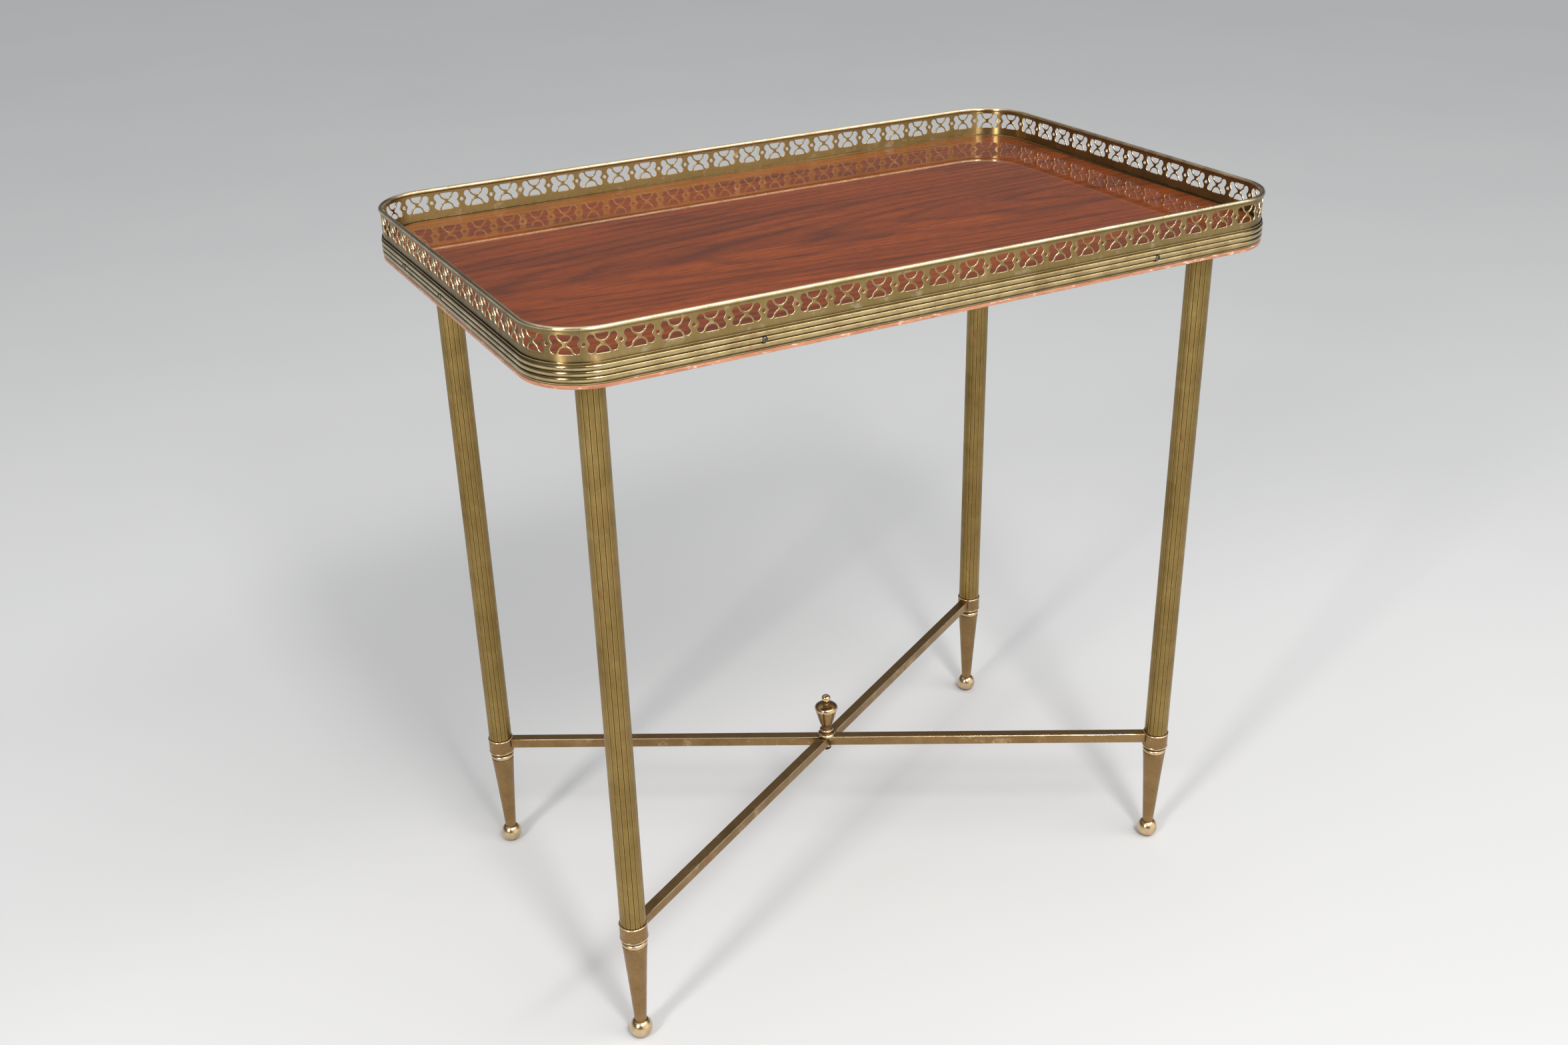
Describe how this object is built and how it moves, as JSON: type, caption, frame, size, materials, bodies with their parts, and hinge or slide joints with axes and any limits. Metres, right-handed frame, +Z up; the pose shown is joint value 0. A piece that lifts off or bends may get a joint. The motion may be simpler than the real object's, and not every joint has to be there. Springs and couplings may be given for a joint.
{
  "type": "gallery side table",
  "caption": "Rectangular side table: mahogany tray top with a pierced brass gallery and reeded edge, fluted brass tube legs, crossed stretcher with urn finial",
  "frame": {"origin": "on the floor, under the middle of the table", "axes": "+X along the long side of the top, +Y along the short side towards the back, +Z up"},
  "size_m": [0.5618, 0.3538, 0.561],
  "materials": {
    "mahogany": "high gloss lacquer",
    "gallery_brass": "polished, lightly tarnished",
    "leg_brass": "dull olive patina",
    "aged_brass": "brown patina, worn bright on edges",
    "steel": "dull"
  },
  "bodies": {
    "root": {"centre_nut": "aged_brass", "centre_washer": "aged_brass", "collar_back_left": "aged_brass", "collar_back_right": "aged_brass", "collar_front_left": "aged_brass", "collar_front_right": "aged_brass", "finial": "aged_brass", "finial_stud": "steel", "flange_screw_back_left_1": "steel", "flange_screw_back_left_2": "steel", "flange_screw_back_left_3": "steel", "flange_screw_back_right_1": "steel", "flange_screw_back_right_2": "steel", "flange_screw_back_right_3": "steel", "flange_screw_front_left_1": "steel", "flange_screw_front_left_2": "steel", "flange_screw_front_left_3": "steel", "flange_screw_front_right_1": "steel", "flange_screw_front_right_2": "steel", "flange_screw_front_right_3": "steel", "foot_back_left": "aged_brass", "foot_back_right": "aged_brass", "foot_front_left": "aged_brass", "foot_front_right": "aged_brass", "gallery_back": "gallery_brass", "gallery_front": "gallery_brass", "gallery_pin_01": "steel", "gallery_pin_02": "steel", "gallery_pin_03": "steel", "gallery_pin_04": "steel", "gallery_pin_05": "steel", "gallery_pin_06": "steel", "gallery_pin_07": "steel", "gallery_pin_08": "steel", "leg_flange_back_left": "aged_brass", "leg_flange_back_right": "aged_brass", "leg_flange_front_left": "aged_brass", "leg_flange_front_right": "aged_brass", "leg_tube_back_left": "leg_brass", "leg_tube_back_right": "leg_brass", "leg_tube_front_left": "leg_brass", "leg_tube_front_right": "leg_brass", "reeded_band_back": "gallery_brass", "reeded_band_front": "gallery_brass", "stretcher_bar_falling": "aged_brass", "stretcher_bar_rising": "aged_brass", "tie_rod_back_left": "steel", "tie_rod_back_right": "steel", "tie_rod_front_left": "steel", "tie_rod_front_right": "steel", "top_board": "mahogany"}
  },
  "joints": []
}
